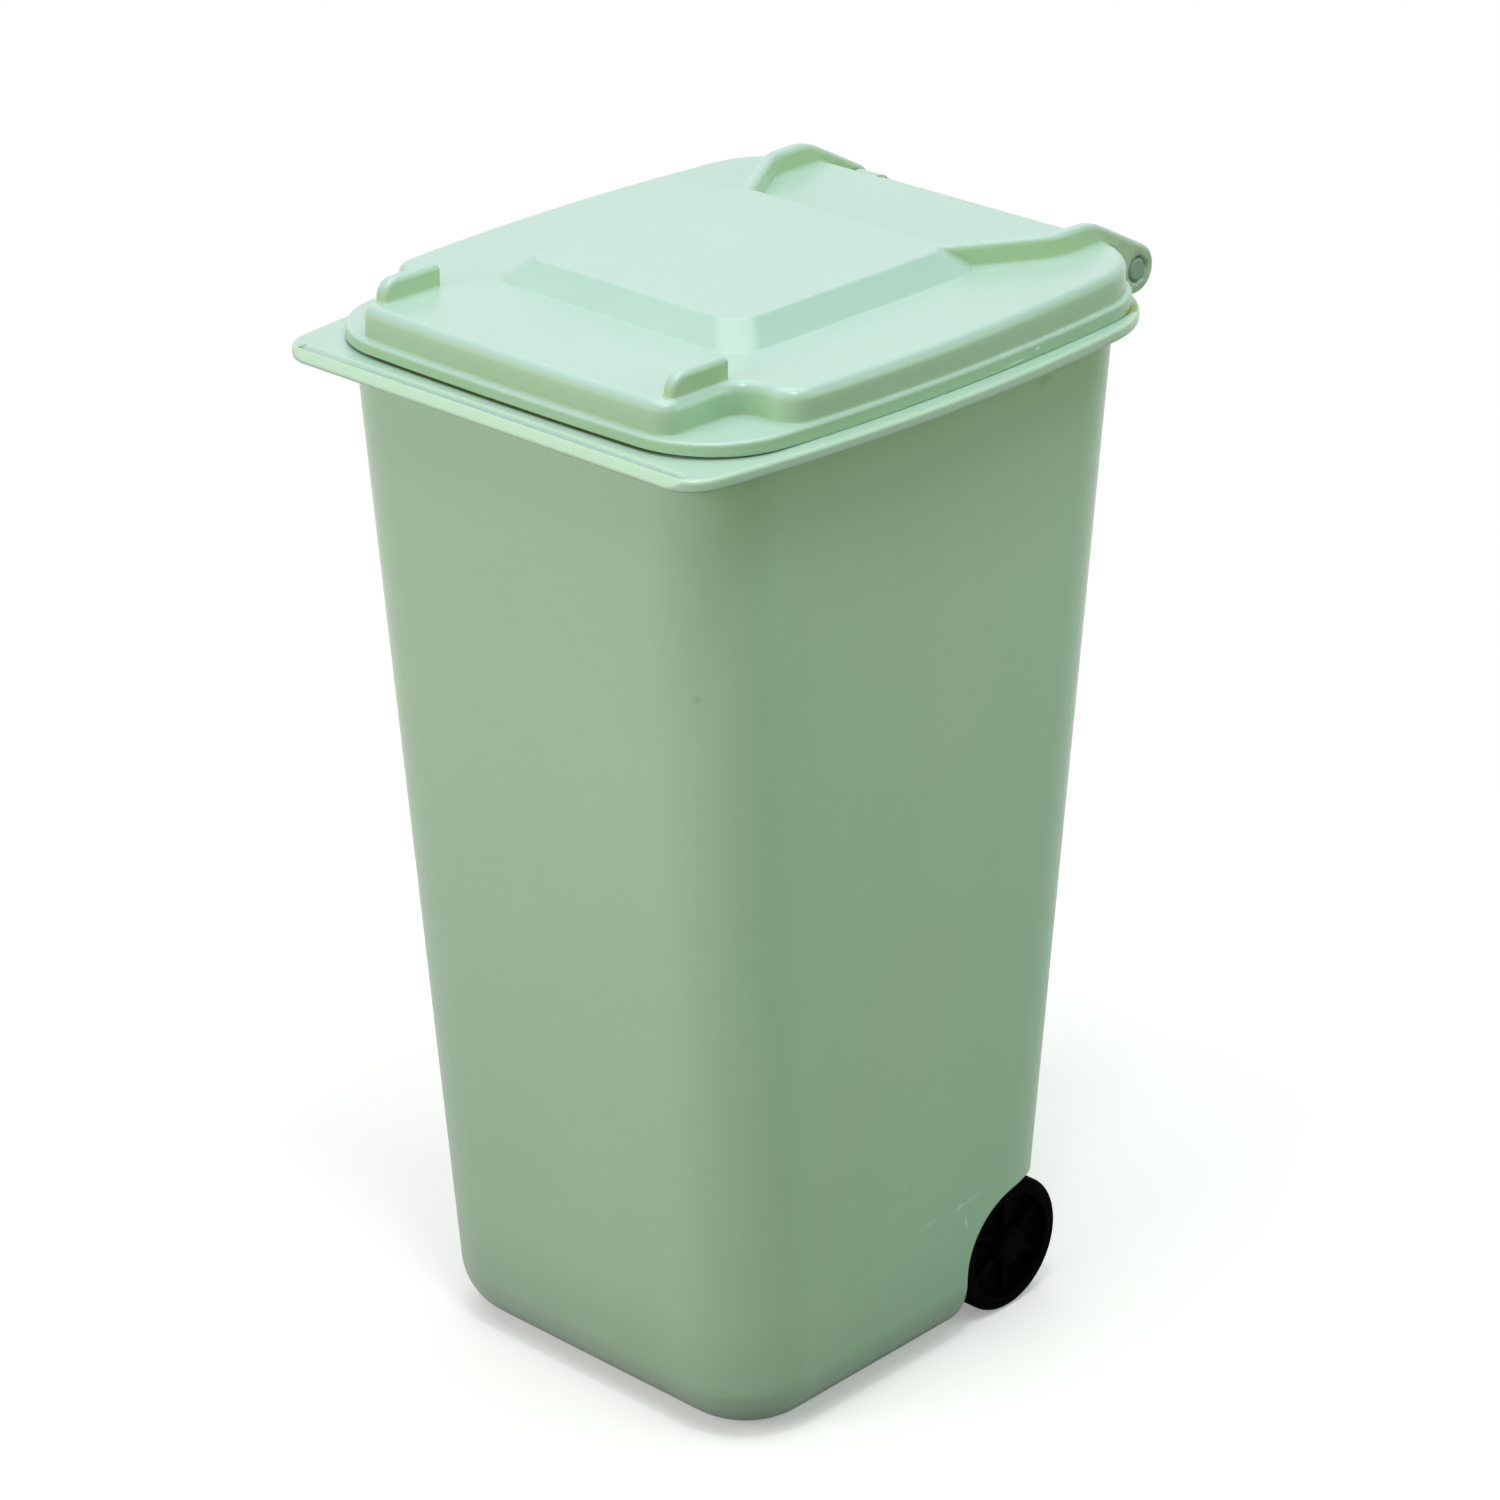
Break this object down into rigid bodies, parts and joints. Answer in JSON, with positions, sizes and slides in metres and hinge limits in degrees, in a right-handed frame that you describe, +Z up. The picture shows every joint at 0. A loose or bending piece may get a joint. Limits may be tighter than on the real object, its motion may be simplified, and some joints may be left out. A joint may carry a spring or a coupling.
{
  "type": "desktop trash can",
  "caption": "Small desktop trash can shaped like a wheelie bin: tapered tub with a flanged rim, hinged lid with a raised panel, and wheels that turn on a rear axle.",
  "frame": {"origin": "on the floor under the tub, midway between its front and rear walls carried down to the floor", "axes": "+Z up, front towards -Y, the bin's left and right mirror each other across X = 0"},
  "size_m": [0.074, 0.0923, 0.1436],
  "materials": {
    "mint_plastic": "satin moulded plastic",
    "lid_plastic": "satin moulded plastic",
    "pin_plastic": "matt moulded plastic",
    "wheel_plastic": "matt black plastic",
    "axle_steel": "plain drawn steel"
  },
  "bodies": {
    "tub": {"bin_body": "mint_plastic", "hinge_pin_left": "pin_plastic", "hinge_pin_right": "pin_plastic", "axle": "axle_steel", "axle_cap_left": "wheel_plastic", "axle_cap_right": "wheel_plastic"},
    "lid": {"lid": "lid_plastic"},
    "wheel_left": {"wheel_left": "wheel_plastic"},
    "wheel_right": {"wheel_right": "wheel_plastic"}
  },
  "joints": [
    {"name": "lid_hinge", "type": "hinge", "parent": "tub", "child": "lid", "pos_m": [0, 0.045, 0.1355], "axis": [-1, 0, 0], "range_deg": [0, 250]},
    {"name": "wheel_left_spin", "type": "hinge", "parent": "tub", "child": "wheel_left", "pos_m": [-0.0239, 0.0214, 0.00915], "axis": [1, 0, 0], "continuous": true},
    {"name": "wheel_right_spin", "type": "hinge", "parent": "tub", "child": "wheel_right", "pos_m": [0.0239, 0.0214, 0.00915], "axis": [1, 0, 0], "continuous": true}
  ]
}
